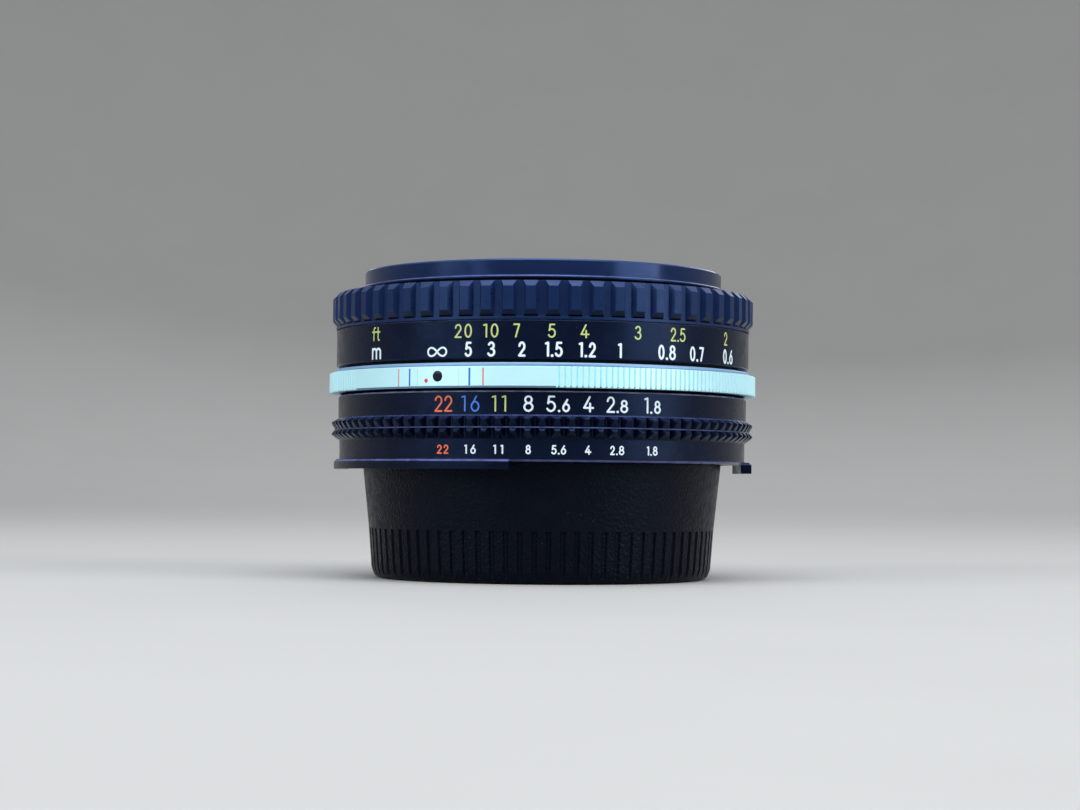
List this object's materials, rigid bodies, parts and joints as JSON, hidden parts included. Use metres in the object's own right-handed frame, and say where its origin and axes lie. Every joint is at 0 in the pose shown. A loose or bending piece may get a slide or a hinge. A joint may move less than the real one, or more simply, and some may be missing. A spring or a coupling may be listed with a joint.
{
  "type": "prime camera lens",
  "caption": "Compact standard prime lens with rubber focus ring, silver grip ring, knurled aperture ring, working iris and removable rear cap.",
  "frame": {"origin": "centre of the rear cap's base, on the optical axis", "axes": "+Z along the optical axis towards the front of the lens; the depth of field marks face -Y, slightly to -X"},
  "size_m": [0.0634, 0.0634, 0.0452],
  "materials": {
    "cap_plastic": "matt, finely grained moulded plastic",
    "black_anodised": "satin black anodised",
    "matt_black": "matt black anodised",
    "bare_aluminium": "satin bright anodised",
    "mount_chrome": "satin chrome",
    "grip_rubber": "moulded rubber",
    "sleeve_brass": "turned, greased",
    "steel": "turned steel",
    "black_steel": "blackened steel",
    "coated_glass": "polished, multicoated"
  },
  "bodies": {
    "rear_cap": {"rear_cap": "cap_plastic"},
    "lens_body": {"bayonet_mount": "mount_chrome", "mount_screws": "steel", "rear_baffle": "matt_black", "baffle_screws": "black_steel", "mount_barrel": "black_anodised", "guide_keys": "steel", "key_screws": "steel", "detent_ball": "steel", "detent_spring": "steel", "detent_screw": "steel", "grip_ring": "bare_aluminium", "lever_spring": "steel", "spring_post": "steel"},
    "aperture_ring": {"aperture_ring": "black_anodised"},
    "front_assembly": {"front_barrel": "black_anodised", "filter_ring": "black_anodised", "name_ring": "matt_black", "front_element": "coated_glass", "second_element": "coated_glass", "third_element": "coated_glass", "fourth_element": "coated_glass", "fifth_element": "coated_glass", "rear_element": "coated_glass", "front_cell": "matt_black", "front_retainer": "matt_black", "second_retainer": "matt_black", "front_spacer": "matt_black", "iris_housing": "matt_black", "housing_screws": "black_steel", "iris_clip": "steel", "rear_cell": "matt_black", "rear_spacer": "matt_black", "rear_retainer": "matt_black"},
    "focus_ring": {"focus_ring": "black_anodised", "rubber_grip": "grip_rubber", "helicoid_sleeve": "sleeve_brass", "focus_set_screws": "black_steel"},
    "stop_down_lever": {"stop_down_lever": "steel"},
    "iris_drive_ring": {"iris_drive_ring": "steel"},
    "iris_blade_1": {"iris_blade_1": "black_steel"},
    "iris_blade_2": {"iris_blade_2": "black_steel"},
    "iris_blade_3": {"iris_blade_3": "black_steel"},
    "iris_blade_4": {"iris_blade_4": "black_steel"},
    "iris_blade_5": {"iris_blade_5": "black_steel"},
    "iris_blade_6": {"iris_blade_6": "black_steel"},
    "iris_blade_7": {"iris_blade_7": "black_steel"}
  },
  "joints": [
    {"name": "lens_lift", "type": "slide", "parent": "rear_cap", "child": "lens_body", "axis": [0, 0, 1], "range_m": [0, 0.022]},
    {"name": "aperture_turn", "type": "hinge", "parent": "lens_body", "child": "aperture_ring", "pos_m": [0, 0, 0.022], "axis": [0, 0, -1], "range_deg": [0, 56.58]},
    {"name": "focus_extension", "type": "slide", "parent": "lens_body", "child": "front_assembly", "axis": [0, 0, 1], "range_m": [0, 0.00542]},
    {"name": "focus_turn", "type": "hinge", "parent": "front_assembly", "child": "focus_ring", "pos_m": [0, 0, 0.036], "axis": [0, 0, -1], "range_deg": [0, 87.7]},
    {"name": "stop_down_turn", "type": "hinge", "parent": "lens_body", "child": "stop_down_lever", "pos_m": [0, 0, 0.0194], "axis": [0, 0, -1], "range_deg": [0, 14]},
    {"name": "iris_drive_turn", "type": "hinge", "parent": "front_assembly", "child": "iris_drive_ring", "pos_m": [0, 0, 0.0253], "axis": [0, 0, -1], "range_deg": [0, 14]},
    {"name": "blade_1_swing", "type": "hinge", "parent": "front_assembly", "child": "iris_blade_1", "pos_m": [0, -0.0168, 0.0244], "axis": [0, 0, -1], "range_deg": [0, 33.2]},
    {"name": "blade_2_swing", "type": "hinge", "parent": "front_assembly", "child": "iris_blade_2", "pos_m": [0.01313, -0.01047, 0.0244], "axis": [0, 0, -1], "range_deg": [0, 33.2]},
    {"name": "blade_3_swing", "type": "hinge", "parent": "front_assembly", "child": "iris_blade_3", "pos_m": [0.01638, 0.00374, 0.0244], "axis": [0, 0, -1], "range_deg": [0, 33.2]},
    {"name": "blade_4_swing", "type": "hinge", "parent": "front_assembly", "child": "iris_blade_4", "pos_m": [0.00729, 0.01514, 0.0244], "axis": [0, 0, -1], "range_deg": [0, 33.2]},
    {"name": "blade_5_swing", "type": "hinge", "parent": "front_assembly", "child": "iris_blade_5", "pos_m": [-0.00729, 0.01514, 0.0244], "axis": [0, 0, -1], "range_deg": [0, 33.2]},
    {"name": "blade_6_swing", "type": "hinge", "parent": "front_assembly", "child": "iris_blade_6", "pos_m": [-0.01638, 0.00374, 0.0244], "axis": [0, 0, -1], "range_deg": [0, 33.2]},
    {"name": "blade_7_swing", "type": "hinge", "parent": "front_assembly", "child": "iris_blade_7", "pos_m": [-0.01313, -0.01047, 0.0244], "axis": [0, 0, -1], "range_deg": [0, 33.2]}
  ],
  "couplings": [
    {"joint": "focus_turn", "follows": "focus_extension", "rad_per_m": 282.41},
    {"joint": "stop_down_turn", "follows": "aperture_turn", "ratio": 0.24746},
    {"joint": "iris_drive_turn", "follows": "aperture_turn", "ratio": 0.24746},
    {"joint": "blade_1_swing", "follows": "aperture_turn", "ratio": 0.58689},
    {"joint": "blade_2_swing", "follows": "aperture_turn", "ratio": 0.58689},
    {"joint": "blade_3_swing", "follows": "aperture_turn", "ratio": 0.58689},
    {"joint": "blade_4_swing", "follows": "aperture_turn", "ratio": 0.58689},
    {"joint": "blade_5_swing", "follows": "aperture_turn", "ratio": 0.58689},
    {"joint": "blade_6_swing", "follows": "aperture_turn", "ratio": 0.58689},
    {"joint": "blade_7_swing", "follows": "aperture_turn", "ratio": 0.58689}
  ]
}
